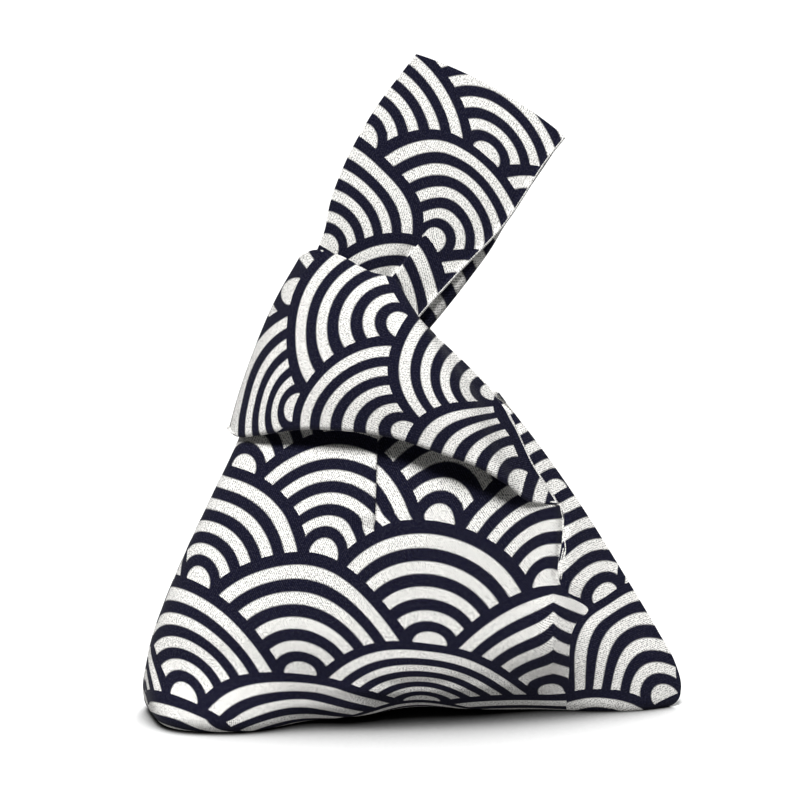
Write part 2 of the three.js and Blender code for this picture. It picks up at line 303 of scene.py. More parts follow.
def rings(n, ring):
    """Ramp that is white on the rings and on the dot in the middle of a scale."""
    ramp = n.add("ShaderNodeValToRGB", {0: ring})
    stops = [(0.0, 1.0), (CENTRE_DOT - RING_EDGE, 1.0), (CENTRE_DOT + RING_EDGE, 0.0)]
    for low, high in WHITE_RINGS:
        stops += [(low - RING_EDGE, 0.0), (low + RING_EDGE, 1.0)]
        stops += [(high - RING_EDGE, 1.0), (high + RING_EDGE, 0.0)]
    elements = ramp.color_ramp.elements
    while len(elements) < len(stops):
        elements.new(1.0)
    for element, (place, value) in zip(elements, stops):
        element.position = place
        element.color = (value, value, value, 1)
    return ramp.outputs[0]


def print_place(n, folded):
    """Place on the print; on folded cloth it jumps at the crease and slips at the tuck."""
    place = n.attribute("print_a")
    if not folded:
        return place
    share = n.clamp(n.maths("ADD", n.attribute("print_side", "Fac"), 0.5))
    place = n.mix_places(share, place, n.attribute("print_b"))
    side = n.maths("SIGN", n.attribute("tuck", "Fac"))
    slip = n.maths("MULTIPLY", side, n.attribute("tuck_slip", "Fac"))
    return n.add("ShaderNodeVectorMath", {0: place, 1: n.vector(slip, 0.0)}, operation="ADD").outputs[0]


def weave(n, x, y):
    """Grain of the cloth: slubby threads both ways, faint diagonal ribs and fine fibres."""
    fine, long = 1 / THREAD, 1 / SLUB_LENGTH
    warp_place = n.vector(n.maths("MULTIPLY", x, fine), n.maths("MULTIPLY", y, long))
    weft_place = n.vector(n.maths("MULTIPLY", x, long), n.maths("MULTIPLY", y, fine))
    both = n.maths("ADD", n.noise(warp_place, 1.0, SLUB_DETAIL), n.noise(weft_place, 1.0, SLUB_DETAIL))
    slub = n.maths("SUBTRACT", both, 2 * NOISE_MEAN)
    fibre = n.maths("SUBTRACT", n.noise(n.vector(x, y), 1 / FIBRE, 0.0), NOISE_MEAN)
    rib = n.maths("SINE", n.maths("MULTIPLY", n.maths("ADD", x, y), 2 * math.pi / RIB_STEP))
    rough = n.maths("MULTIPLY_ADD", fibre, FIBRE_SHARE, n.maths("MULTIPLY", slub, SLUB_SHARE))
    return n.maths("MULTIPLY_ADD", rib, RIB_SHARE, rough)


def print_colour(n, u, v, grain):
    """Colour of the print, with ragged edges, and with threads that show pale through the navy."""
    ragged = n.maths("MULTIPLY", grain, RAGGED)
    white = wave_scales(n, n.maths("ADD", u, ragged), n.maths("ADD", v, ragged))
    fleck = n.maths("MULTIPLY", n.maths("MAXIMUM", grain, 0.0), FLECK)
    return n.mix(n.maths("MAXIMUM", white, fleck), NAVY, OFF_WHITE)


def cotton(name, printed=True, folded=False):
    """Woven cotton, printed or plain."""
    material, n = new_material(name)
    u, v, _ = n.add("ShaderNodeSeparateXYZ", {0: print_place(n, folded)}).outputs
    grain = weave(n, n.maths("MULTIPLY", u, WAVE_RADIUS), n.maths("MULTIPLY", v, WAVE_RADIUS))
    colour = print_colour(n, u, v, grain) if printed else OFF_WHITE
    shade = n.clamp(n.maths("MULTIPLY_ADD", grain, GRAIN_SHADE, 1.0), GRAIN_DARKEST, GRAIN_LIGHTEST)
    colour = n.mix(1.0, colour, n.vector(shade, shade, shade), "MULTIPLY")
    relief = {"Strength": GRAIN_BUMP, "Distance": GRAIN_HEIGHT * MM, "Height": grain}
    bump = n.add("ShaderNodeBump", relief).outputs[0]
    shader = n.add("ShaderNodeBsdfPrincipled", {"Base Color": colour, "Normal": bump, **COTTON})
    n.add("ShaderNodeOutputMaterial", {0: shader.outputs[0]})
    return material


PRINTED = cotton("printed_cotton")
FOLDED = cotton("printed_cotton_folded", folded=True)
LINING = cotton("lining_cotton", printed=False)

# Cloth pieces: what shows on a sheet's rim is its print or its lining
CLOTH = 0.9
RIM_PRINTED, RIM_LINED = 0, 1
EDGE_TURN, EDGE_COLUMNS = 1.6, 3


def cloth(name, grid, place, look=PRINTED, faces_viewer=True, rim=RIM_LINED, **attributes):
    """Sheet of lined cloth from a grid of points, with its place on the print at each point."""
    rows, columns = grid.shape[:2]
    ids = np.arange(rows * columns).reshape(rows, columns)
    a, b, c, d = ids[:-1, :-1], ids[:-1, 1:], ids[1:, 1:], ids[1:, :-1]
    corners = (a, b, c, d) if faces_viewer else (d, c, b, a)
    mesh = bpy.data.meshes.new(name)
    points = (grid.reshape(-1, 3) + ORIGIN) * MM
    mesh.from_pydata(points.tolist(), [], np.stack(corners, -1).reshape(-1, 4).tolist())
    for key, values in dict(attributes, print_a=place).items():
        add_attribute(mesh, key, values)
    mesh.polygons.foreach_set("use_smooth", np.ones(len(mesh.polygons), bool))
    mesh.materials.append(look)
    mesh.materials.append(LINING)
    piece = bpy.data.objects.new(name, mesh)
    bpy.context.collection.objects.link(piece)
    layer = piece.modifiers.new("lining", "SOLIDIFY")
    layer.thickness = CLOTH * MM
    layer.offset = -1.0
    layer.material_offset = 1
    layer.material_offset_rim = rim
    return piece


def add_attribute(mesh, key, values):
    """Gives each point of a mesh a number, or a place on the print."""
    if values.ndim == 3:
        layer = mesh.attributes.new(key, "FLOAT_VECTOR", "POINT")
        full = np.pad(values.reshape(-1, 2), ((0, 0), (0, 1)))
        layer.data.foreach_set("vector", full.astype(np.float32).ravel())
    else:
        layer = mesh.attributes.new(key, "FLOAT", "POINT")
        layer.data.foreach_set("value", values.astype(np.float32).ravel())


def turn_right_edge(grid, share):
    """Turns the right edge to the viewer, row by row, so that the lining shows there as a thin line."""
    for column in range(1, EDGE_COLUMNS + 1):
        grid[:, column - EDGE_COLUMNS - 1, 1] -= share * EDGE_TURN * (column / EDGE_COLUMNS) ** 2


# Sack: its end edges, half depth and squareness by height, in millimetres
SACK_TOP = 124.0
MOUTH_HEIGHT = 120.0
LEFT_EDGE = [(0, -98), (6, -100), (24, -99.5), (42, -94), (62, -85.8), (81, -77), (104, -66), (136, -54)]
RIGHT_EDGE = [(0, 101), (6, 103), (18, 100.5), (30, 94), (53, 80.5), (83, 62), (104, 47.5), (136, 22)]
HALF_DEPTH = [(0, 31), (20, 32), (50, 30), (80, 24), (100, 18), (136, 13)]
LEFT_SQUARE = [(0, 5), (6, 4), (16, 2.6), (40, 2.2), (136, 2.2)]
RIGHT_EDGE_ROUND = [(0, 0.95), (80, 0.9), (110, 0.6), (136, 0.5)]
TAPER = 0.25
LEFT_TURN, RIGHT_TURN, LEFT_END_TURN = math.radians(7), math.radians(2), math.radians(17)
TURN_CHANGES, END_TURN_CHANGES = (0.3, 0.7), (0.0, 0.5)
BASE_SET_BACK = 4.0
FOOT_END, FOOT_MIDDLE, FOOT_CENTRE, FOOT_SPREAD = 6.0, 24.0, 0.52, 0.12
BASE_ARCH, ARCH_REACH, ARCH_FADE = 2.5, 62.0, 40.0
FRONT_DENTS, DENT_RISE, DENT_FADE = ((-40, 14, 7.0), (50, 26, 11.5)), 10.0, 35.0
BASE_SEAM_SHARE = 0.25
SACK_COLUMNS, WALL_ROWS, FOOT_ROWS, BASE_ROWS = 361, 110, 40, 14
SEAM_COLUMNS = 26


def sack_ring(z, around, side, inset, flat):
    """Points round the sack: around 0 at the left end to 1 at the right, side -1 in front.

    They lie an inset in from the wall; flat draws them together, at 1 onto the base seam."""
    up = np.clip(z / MOUTH_HEIGHT, 0, 1)
    turn = lerp(LEFT_TURN, RIGHT_TURN, smooth(around, *TURN_CHANGES)) * (1 - up)
    end_turn = lerp(LEFT_END_TURN, RIGHT_TURN, smooth(around, *END_TURN_CHANGES)) * (1 - up)
    left, right = through(LEFT_EDGE, z), through(RIGHT_EDGE, z)
    cosine, sine = -np.cos(np.pi * around), np.sin(np.pi * around)
    square = through(LEFT_SQUARE, z)
    boxed = (np.abs(cosine) ** square + sine ** square) ** (-1 / square)
    is_left = around < 0.5
    along = cosine * np.where(is_left, boxed, 1) * ((right - left) / 2 - inset)
    along *= 1 - BASE_SEAM_SHARE * flat
    out = np.where(is_left, sine * boxed, sine ** (2 * through(RIGHT_EDGE_ROUND, z)))
    taper = 1 - TAPER * (1 - up) * around
    out *= side * (through(HALF_DEPTH, z) - inset) * taper * (1 - flat)
    x = (left + right) / 2 + along - out * np.sin(end_turn)
    y = BASE_SET_BACK * (1 - up) + along * np.sin(turn) + out * np.cos(end_turn)
    return x, y


def sack_half(side):
    """Half of the sack from the mouth down its wall, round the foot and under to the base seam.

    Also gives its lengths: along each row from the middle plane, and down from the mouth."""
    around = np.linspace(0, 1, SACK_COLUMNS)
    foot = FOOT_END + swell(around - FOOT_CENTRE, FOOT_MIDDLE, FOOT_SPREAD)
    rows, down = [], []
    for h in np.linspace(0, 1, WALL_ROWS, endpoint=False):
        z = lerp(SACK_TOP, foot, h)
        rows.append((*sack_ring(z, around, side, 0, 0), z))
        down.append(SACK_TOP - z)
    for a in np.linspace(0, np.pi / 2, FOOT_ROWS):
        z = foot * (1 - np.sin(a))
        rows.append((*sack_ring(foot, around, side, foot * (1 - np.cos(a)), 0), z))
        down.append(SACK_TOP - foot + foot * a)
    for f in np.linspace(0, 1, BASE_ROWS)[1:]:
        rows.append((*sack_ring(foot, around, side, foot, f), np.zeros_like(foot)))
        down.append(down[-1] + through(HALF_DEPTH, 0) / BASE_ROWS)
    grid = np.stack([np.stack(row, -1) for row in rows])
    flat = lengths(grid)
    middle = slice(SACK_COLUMNS // 4, -SACK_COLUMNS // 4)
    for points, row in zip(grid, flat):
        row[:, 0] -= np.interp(0, points[middle, 0], row[middle, 0])
    flat[..., 1] = down
    slump(grid)
    return grid, flat


def slump(grid):
    """Dents the sack's lower front and arches its base off the floor."""
    reach = np.clip(np.abs(grid[..., 0]) / ARCH_REACH, 0, 1)
    in_front = smooth(grid[-1, :, 1] - grid[..., 1], 0, DENT_RISE)
    low = 1 - smooth(grid[..., 2], 0, DENT_FADE)
    for x, width, depth in FRONT_DENTS:
        grid[..., 1] += swell(grid[..., 0] - x, depth, width) * in_front * low
    arch = np.cos(np.pi / 2 * reach) ** 2 * (1 - smooth(grid[..., 2], 0, ARCH_FADE))
    grid[..., 2] += BASE_ARCH * arch


def thin_out(piece, columns):
    """Lets the layers of a sack sheet run out to nothing over its last columns, at the seam."""
    seam = piece.vertex_groups.new(name="seam")
    ids = np.arange(len(piece.data.vertices)).reshape(-1, SACK_COLUMNS)
    for column in range(columns):
        seam.add(ids[:, -1 - column].tolist(), 1 - (column / columns) ** 2, "REPLACE")
    piece.modifiers["lining"].vertex_group = seam.name
    piece.modifiers["lining"].invert_vertex_group = True


# Folds of the sack's front. Places are photo pixels; a fold's height and width are in millimetres.
CREASE_PX = [(400, 480), (450, 500), (480, 535), (510, 562), (540, 562), (580, 559), (588, 562),
             (597, 570), (602, 578), (606, 585), (609, 588), (612, 588), (620, 579), (630, 573),
             (650, 569.5), (672, 569), (690, 567), (740, 567)]
CREASE_WIDTH = 0.1

TUCK_TOP_PX, TUCK_FOOT_PX, TUCK_FADE_PX = (377.5, 443), (375, 525), (513, 530)
TUCK_HIDES, TUCK_REACH = 5.0, 16.0
TUCK_OUT, TUCK_IN, TUCK_EDGE = (1.8, 9.0), (1.2, 7.0), 0.5

SLIT_OPENS_PX, SLIT_CLOSES_PX = (490, 505), (584, 600)
SLIT_OUT, SLIT_IN = (1.2, 8.0), (2.0, 1.6)
SLIT_EDGES_PX = [[(560, 504), (563, 520), (564.5, 539), (565.5, 548), (563, 565), (561, 580)],
                 [(563.5, 548), (560, 564), (556.5, 579)],
                 [(564.5, 552), (561.5, 566), (558.5, 581)]]
SLIT_EDGE_WIDTH, SLIT_EDGE_LIFT, SLIT_EDGE_ROWS = 0.35, 0.3, 24

RIDGE_PX, VALLEY_PX = 553, 580
RIDGE_BEGINS_PX, RIDGE_FADES_PX = (580, 612), (620, 695)
RIDGE_LIFT, RIDGE_HALF_WIDTH = 0.12, 5.0
RIDGE_OUT, VALLEY_IN = (2.4, 9.0), (1.6, 7.0)

WRINKLE_HEIGHT, WRINKLE_STEP_PX, WRINKLE_SWAY, WRINKLE_SWAY_PX = 0.5, 3.4, 1.3, 37
WRINKLES_BEGIN_PX, WRINKLES_MIDDLE_PX, WRINKLES_REACH = (668, 690), 410, 42

# The sack goes in under the collar: the collar's lower edge, and how far in and over what height
COLLAR_EDGE_PX = [(230, 415), (262, 430), (300, 431), (340, 432), (395, 440), (440, 455), (480, 470),
                  (515, 490)]
NECK_RECESS, NECK_RECESS_PX, NECK_RECESS_END_PX = 8.0, 26, (485, 525)

# Print of the sack's front, left of the crease and right of it, and of its back
WAVE_MARKS = [(245, 461, -2, 1), (199, 575, -2, 0), (326, 546, -1, .5), (185, 689, -2, -1),
              (300, 669, -1, -.5), (442, 512, 0, 1), (431, 639, 0, 0), (423, 698, 0, -1), (548, 577, 1, .5),
              (550, 690, 1, -.5), (662, 692, 2, -1), (584, 612, 1.34, .21), (571, 632, 1.22, .05)]
SIDE_MARKS = [(553, 487, 2, 1), (576, 501, 2.16, .77), (566, 533, 1.92, .585), (598, 544, 2.18, .365),
              (567, 562, 1.80, .355), (565, 578, 1.75, .21), (604, 591, 2, 0), (575, 596, 1.77, .08),
              (494, 640, 1, 0), (595, 620, 1.80, -.24), (630, 597, 2.22, -.245), (658, 645, 2.25, -.675),
              (662, 692, 2, -1), (580, 690, 1.28, -.605), (597, 689, 1.47, -.68), (616, 690, 1.63, -.79),
              (635, 694, 1.77, -.92), (596, 702, 1.40, -.815)]
BACK_PRINT_START = (0.4, 0.3)


def from_column(seen, column):
    """Millimetres to the right of a column of photo pixels."""
    return (seen[..., 0] - column) / PX_PER_MM


def from_crease(seen):
    """Millimetres to the right of the crease."""
    return from_column(seen, through(CREASE_PX, seen[..., 1]))


def from_tuck(seen):
    """Millimetres to the right of the tuck."""
    slope = (TUCK_FOOT_PX[0] - TUCK_TOP_PX[0]) / (TUCK_FOOT_PX[1] - TUCK_TOP_PX[1])
    return from_column(seen, TUCK_TOP_PX[0] + slope * (seen[..., 1] - TUCK_TOP_PX[1]))


def tuck_share(seen):
    """1 beside the tuck, 0 below its foot."""
    return 1 - smooth(seen[..., 1], *TUCK_FADE_PX)


def ridge_share(seen):
    """1 at the head of the ridge below the slit, fading down it."""
    y = seen[..., 1]
    return smooth(y, *RIDGE_BEGINS_PX) * (1 - smooth(y, *RIDGE_FADES_PX))


# Each relief is how far the front stands out, in millimetres, where its points show in the photograph
def tuck_relief(seen):
    x = from_tuck(seen)
    step = lerp(swell(x, *TUCK_OUT), -swell(x, *TUCK_IN), smooth(x, -TUCK_EDGE, TUCK_EDGE))
    return step * tuck_share(seen)


def slit_relief(seen):
    x, y = from_crease(seen), seen[..., 1]
    share = smooth(y, *SLIT_OPENS_PX) * (1 - smooth(y, *SLIT_CLOSES_PX))
    return share * (swell(x, *SLIT_OUT) - swell(x, *SLIT_IN))


def ridge_relief(seen):
    ridge = swell(from_column(seen, RIDGE_PX), *RIDGE_OUT)
    valley = swell(from_column(seen, VALLEY_PX), *VALLEY_IN)
    return ridge_share(seen) * (ridge - valley)


def wrinkle_relief(seen):
    x, y = seen[..., 0], seen[..., 1]
    folds = np.sin(y / WRINKLE_STEP_PX + WRINKLE_SWAY * np.sin(x / WRINKLE_SWAY_PX))
    reach = bell(from_column(seen, WRINKLES_MIDDLE_PX), WRINKLES_REACH)
    return WRINKLE_HEIGHT * folds * smooth(y, *WRINKLES_BEGIN_PX) * reach


def neck_relief(seen):
    x, y = seen[..., 0], seen[..., 1]
    below_collar = y - through(COLLAR_EDGE_PX, x)
    share = (1 - smooth(below_collar, 0, NECK_RECESS_PX)) * (1 - smooth(x, *NECK_RECESS_END_PX))
    return -NECK_RECESS * share


def sack_front():
    grid, flat = sack_half(-1)
    seen = project(grid)
    place = warp(*marked(grid, flat, WAVE_MARKS))(flat)
    beside_ridge = np.abs(from_column(seen, RIDGE_PX))
    place[..., 1] -= RIDGE_LIFT * ridge_share(seen) * np.exp(-beside_ridge / RIDGE_HALF_WIDTH)
    side_place = warp(*pictured(SIDE_MARKS))(seen / PX_PER_MM)
    tuck = from_tuck(seen)
    slip = TUCK_HIDES / WAVE_RADIUS * tuck_share(seen) * np.exp(-np.abs(tuck) / TUCK_REACH)
    for relief in (tuck_relief, slit_relief, ridge_relief, wrinkle_relief, neck_relief):
        grid[..., 1] -= relief(seen)
    piece = cloth("sack_front", grid, place, FOLDED, False, RIM_PRINTED, print_b=side_place,
                  print_side=from_crease(seen) / CREASE_WIDTH, tuck=tuck, tuck_slip=slip)
    thin_out(piece, SEAM_COLUMNS)
    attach(piece, "bag")
    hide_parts("front_panel", "front_lining", "left_side_seam", "right_side_seam", "base_seam")
    slit_lining(grid)


def slit_lining(front):
    """Edges of the lining that show in the slit, lying on the front of the sack."""
    seen = project(front).reshape(-1, 2)
    pieces = []
    for number, edge in enumerate(SLIT_EDGES_PX, 1):
        path = spline(edge, SLIT_EDGE_ROWS)
        nearest = [((seen - p) ** 2).sum(1).argmin() for p in path]
        depth = front.reshape(-1, 3)[nearest, 1] - SLIT_EDGE_LIFT
        half = [SLIT_EDGE_WIDTH / 2 * PX_PER_MM, 0]
        sides = [np.column_stack([path + side * np.array(half), depth]) for side in (-1, 1)]
        grid = unproject(np.stack(sides, 1))
        piece = cloth("slit_lining_%d" % number, grid, lengths(grid) / WAVE_RADIUS, LINING, False)
        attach(piece, "bag")
        pieces.append(piece)
    return pieces


def sack_back():
    grid, flat = sack_half(1)
    piece = cloth("sack_back", grid, BACK_PRINT_START - flat / WAVE_RADIUS, rim=RIM_PRINTED)
    thin_out(piece, SEAM_COLUMNS)
    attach(piece, "bag")
    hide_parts("back_panel", "back_lining")


sack_front()
sack_back()

# Short loop, drawn round the neck as a collar: photo pixels of its edges, with their depths
COLLAR_FOLD = 2
COLLAR_LOW = [(229, 428, COLLAR_FOLD), (234, 436, -4), (243, 438, -8), (262, 436, -13), (300, 431, -20),
              (340, 432, -23.5), (395, 440, -26), (440, 455, -27), (480, 470, -26), (505, 485, -22),
              (528, 502, -13.5), (557, 505, -5)]
COLLAR_TOP = [(300, 256, COLLAR_FOLD), (313, 250, -5), (336, 254, -10), (372, 272, -12), (393, 278, -12),
              (414, 311, -11), (430, 330, -9)]
COLLAR_LEFT = [(229, 428, COLLAR_FOLD), (235, 405, COLLAR_FOLD), (250, 360, COLLAR_FOLD),
               (275, 300, COLLAR_FOLD), (300, 256, COLLAR_FOLD)]
COLLAR_RIGHT = [(557, 505, -5), (534, 468, -6), (504, 408, -5), (475, 373, -6.5), (430, 330, -9)]
COLLAR_MARKS = [(288, 290, 0, 1), (395, 321, 0, 0), (488, 391, 0, -1), (289, 407, -1, .5),
                (400, 430, -1, -.5), (516, 482, -1, -1.5), (508, 434, -.65, -1.3), (520, 461, -.82, -1.49),
                (632, 534, -1, -2.5), (264, 403, -1, .9), (239, 398, -1, 1.29)]
COLLAR_COLUMNS, COLLAR_ROWS = 161, 91
COLLAR_PUFF = 6.0
LINING_SHOWS_PX, LINING_HIDES_PX = (400, 412), (466, 476)

# Its lower edge is rolled under: radius, and over which share of the width the roll grows and shrinks
ROLL_RADIUS, ROLL_STEPS = 2.4, 12
ROLL_GROWS, ROLL_SHRINKS, ROLL_SHRINK = (0.0, 0.08), (0.85, 1.0), 0.8

# What is rolled under runs up inside, along these rows, at a distance that opens with a slope
TURN_ROWS, TURN_GAP, TURN_SLOPE, TURN_INWARD = (3, 7, 12, 18), 1.2, 0.4, 3.5
TURN_OPENS, TURN_CLOSES, INWARD_ENDS = (0.0, 0.2), (0.7, 1.0), (0.0, 0.12)

# The back of the collar mirrors its front, flatter and lower at its top
BACK_FLATNESS, BACK_DROP = 0.8, 5.0
BACK_DROP_ROWS, BACK_DROP_COLUMNS = (0.5, 1.0), (0.0, 0.2)


def collar_grid():
    """Front of the collar, rows from what is turned under inside, round the roll, to the top."""
    seen = patch(spline(COLLAR_LOW, COLLAR_COLUMNS), spline(COLLAR_TOP, COLLAR_COLUMNS),
                 spline(COLLAR_LEFT, COLLAR_ROWS), spline(COLLAR_RIGHT, COLLAR_ROWS))
    u = np.linspace(0, 1, COLLAR_COLUMNS)
    v = np.linspace(0, 1, COLLAR_ROWS)[:, None]
    seen[..., 2] -= COLLAR_PUFF * np.sin(np.pi * u) * np.sin(np.pi * v)
    grid = unproject(seen)
    radius = ROLL_RADIUS * smooth(u, *ROLL_GROWS) * (1 - ROLL_SHRINK * smooth(u, *ROLL_SHRINKS))
    slope = TURN_SLOPE * smooth(u, *TURN_OPENS) * (1 - smooth(u, *TURN_CLOSES))
    inward = TURN_INWARD * (1 - smooth(u, *INWARD_ENDS))
    grid[..., 2] += radius * (1 - v) ** 2
    rolled = []
    for a in np.linspace(0, np.pi, ROLL_STEPS)[1:]:
        rolled.append(grid[0] + radius[:, None] * np.array([0, 1 - math.cos(a), -math.sin(a)]))
    for row in TURN_ROWS:
        behind = TURN_GAP + 2 * radius + slope * row
        rolled.append(grid[row] + np.stack([inward, behind, 0 * behind], -1))
    return np.vstack([np.array(rolled)[::-1], grid])


def facing_lengths(grid, first):
    """Lengths across and down the picture plane, and on from the first row along what is turned under."""
    flat = project(grid) / PX_PER_MM
    for row in range(first - 1, -1, -1):
        step = np.linalg.norm(grid[row] - grid[row + 1], axis=1)
        flat[row] = flat[row + 1] + np.stack([0 * step, step], -1)
    return flat


def collar():
    grid = collar_grid()
    flat = facing_lengths(grid, len(grid) - COLLAR_ROWS)
    edge = project(grid[:, -1])[:, 1]
    turn_right_edge(grid, smooth(edge, *LINING_SHOWS_PX) * (1 - smooth(edge, *LINING_HIDES_PX)))
    collar_front(grid, flat)
    collar_back(grid, flat)


def collar_front(grid, flat):
    front = cloth("collar_front", grid, warp(*pictured(COLLAR_MARKS))(flat))
    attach(front, "bag")
    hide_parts("short_loop_front", "short_loop_front_lining", "short_loop_end_seam")


def collar_back(grid, flat):
    far = grid.copy()
    far[..., 1] = COLLAR_FOLD + BACK_FLATNESS * (COLLAR_FOLD - grid[..., 1])
    u = np.linspace(0, 1, COLLAR_COLUMNS)
    v = np.linspace(0, 1, len(grid))[:, None]
    far[..., 2] -= BACK_DROP * smooth(v, *BACK_DROP_ROWS) * smooth(u, *BACK_DROP_COLUMNS)
    back = cloth("collar_back", far, flat[..., ::-1] * [-1, 1] / WAVE_RADIUS, PRINTED, False)
    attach(back, "bag")
    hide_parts("short_loop_back", "short_loop_back_lining")


collar()

# Long loop: photo pixels of its edges, with their depths
LOOP_LEFT = [(288, 318, -3), (317, 250, -4.5), (324, 232, -5.2), (330, 203, -5.6), (344, 165, -5.4),
             (371, 115, -4.2), (416, 54, -1)]
LOOP_RIGHT = [(388, 352, -5), (423, 309, -7), (457, 272, -7), (501, 226, -6), (551, 152, -2.5),
              (564, 136, -1)]
LOOP_BACK_RIGHT = [(398, 364, 3), (431, 327, 1.5), (470, 278, .5), (491, 249, .5), (504, 227, .8),
                   (545, 165.5, 1), (564, 137, 1)]
LOOP_BACK_TOP, LOOP_BACK_SHIFT_PX = (415, 56, 1), 3
LOOP_COLUMNS, LOOP_ROWS = 121, 161
LOOP_PUFF = 2.5
END_BOW_PX, END_BOW_FULLNESS, END_BOW_ROWS = 8.4, 0.8, (0.5, 1.0)

# Print of the front strap; the middle scale runs on over the flap
MIDDLE_MARKS = [(489, 151, 1, 1.5), (474, 162, .945, 1.285), (440, 146, .63, 1.2), (442, 214, .88, .68),
                (437, 236, 1, .5)]
LOOP_MARKS = MIDDLE_MARKS + [(367, 132, 0, 1), (329, 242, 0, 0), (393, 160, .31, .925)]
FLAP_MARKS = MIDDLE_MARKS + [(462, 347, 2, -.07), (415, 250, 1, .29), (424, 270, 1.2, .26),
                             (432, 297, 1.44, .16), (408, 289, 1.26, .03)]

# Flap of the front strap that is folded over at the throat: its fold line and its relief
FLAP_TOP_PX, FLAP_FOOT_PX = np.array([418, 244]), np.array([394, 275])
FLAP_EDGE, FLAP_FADE, FLAP_FADE_LENGTH = 0.15, 25.0, 40.0
FLAP_OPENS, FLAP_IN, FLAP_OUT, FLAP_STEP = (-2.0, 8.0), (1.8, 4.0), (1.2, 18.0), 0.4

# The back strap's right edge curls forward: radius and reach of the curl at the throat and at the end
CURL_RADIUS, CURL_RADIUS_ROWS = (3.2, 0.4), (0.3, 0.9)
CURL_REACH, CURL_REACH_ROWS = (6.5, 0.2), (0.35, 0.85)
CURL_FROM = 0.7
CURL_TURN = math.radians(170)
CURL_VISIBLE = 8.0
CURL_PRINT_EDGE = 0.0025
CURL_DOT_PX, CURL_SLANT = (413, 349), (0.80, -0.30)
BACK_WAVE_UP = 6.0


def end_bow(u, v):
    """Pixels by which the strap's end bows out between its corners."""
    along = np.array(LOOP_RIGHT[-1][:2]) - np.array(LOOP_LEFT[-1][:2])
    out = np.array([along[1], -along[0]]) / np.linalg.norm(along)
    bow = END_BOW_PX * np.sin(np.pi * u) ** END_BOW_FULLNESS * smooth(v, *END_BOW_ROWS)
    return bow[..., None] * out


def front_strap():
    left, right = spline(LOOP_LEFT, LOOP_ROWS), spline(LOOP_RIGHT, LOOP_ROWS)
    u = np.linspace(0, 1, LOOP_COLUMNS)[None]
    v = np.linspace(0, 1, LOOP_ROWS)[:, None]
    seen = lerp(left[:, None], right[:, None], u[..., None])
    seen[..., 2] -= LOOP_PUFF * np.sin(np.pi * u) * np.sin(np.pi * v)
    seen[..., :2] += end_bow(u, v)
    flat = seen[..., :2] / PX_PER_MM
    place = warp(*pictured(LOOP_MARKS))(flat)
    flap_place = warp(*pictured(FLAP_MARKS))(flat)
    relief, side = flap(flat)
    grid = unproject(seen)
    grid[..., 1] -= relief
    turn_right_edge(grid, 1)
    none = np.zeros(side.shape)
    return cloth("strap_front", grid, place, FOLDED, True, print_b=flap_place, print_side=side,
                 tuck=none, tuck_slip=none)


def flap(flat):
    """Relief of the flap, and how far over on its side of the fold each point is."""
    down = (FLAP_FOOT_PX - FLAP_TOP_PX) / np.linalg.norm(FLAP_FOOT_PX - FLAP_TOP_PX)
    away = np.array([down[1], -down[0]])
    from_top = flat - FLAP_TOP_PX / PX_PER_MM
    from_fold, below_top = from_top @ away, from_top @ down
    side = from_fold / lerp(FLAP_EDGE, FLAP_FADE, smooth(-below_top, 0, FLAP_FADE_LENGTH))
    over = smooth(from_fold, -FLAP_STEP, FLAP_STEP)
    relief = lerp(-swell(from_fold, *FLAP_IN), swell(from_fold, *FLAP_OUT), over)
    return relief * smooth(below_top, *FLAP_OPENS), side


def back_strap():
    grid = curled_grid()
    flat = lengths(grid)
    from_edge = flat[..., 0] - flat[:, -1:, 0] + CURL_VISIBLE
    place = np.stack([-from_edge, flat[..., 1] - BACK_WAVE_UP], -1) / WAVE_RADIUS
    along = (project(grid) - CURL_DOT_PX) / PX_PER_MM @ CURL_SLANT
    curl_place = np.stack([from_edge, along], -1) / WAVE_RADIUS
    on_curl = (np.linspace(0, 1, LOOP_COLUMNS) - CURL_FROM) / CURL_PRINT_EDGE
    side = np.repeat(on_curl[None], LOOP_ROWS, axis=0)
    none = np.zeros(side.shape)
    return cloth("strap_back", grid, place, FOLDED, False, print_b=curl_place, print_side=side,
                 tuck=none, tuck_slip=none)


def curled_grid():
    """The back strap, flat from its left edge to where its right edge curls forward."""
    back_left = [(x + LOOP_BACK_SHIFT_PX, y, -depth) for x, y, depth in LOOP_LEFT[:-1]] + [LOOP_BACK_TOP]
    left, right = spline(back_left, LOOP_ROWS), spline(LOOP_BACK_RIGHT, LOOP_ROWS)
    v = np.linspace(0, 1, LOOP_ROWS)
    radius = lerp(*CURL_RADIUS, smooth(v, *CURL_RADIUS_ROWS))
    reach = lerp(*CURL_REACH, smooth(v, *CURL_REACH_ROWS))
    across = right[:, :2] - left[:, :2]
    width = np.linalg.norm(across, axis=1)
    across /= width[:, None]
    columns = []
    for u in np.linspace(0, 1, LOOP_COLUMNS):
        flat_share = min(u / CURL_FROM, 1)
        # From 0 to 1 round the curl, then from 1 to 2 along what reaches in past it
        past_curl = (u - CURL_FROM) / (1 - CURL_FROM) * 2
        angle = CURL_TURN * np.clip(past_curl, 0, 1)
        at = (width - radius * PX_PER_MM) * flat_share
        if u >= CURL_FROM:
            inside = radius * (math.sin(angle) - 1) - reach * np.clip(past_curl - 1, 0, 1)
            at = width + inside * PX_PER_MM
        depth = lerp(left[:, 2], right[:, 2], flat_share) - radius * (1 - math.cos(angle))
        puff = LOOP_PUFF * math.sin(math.pi * flat_share) * np.sin(np.pi * v)
        bow = end_bow(at / width.clip(at.max(), None), v)
        columns.append(np.column_stack([left[:, :2] + across * at[:, None] + bow, depth + puff]))
    return unproject(np.stack(columns, 1))


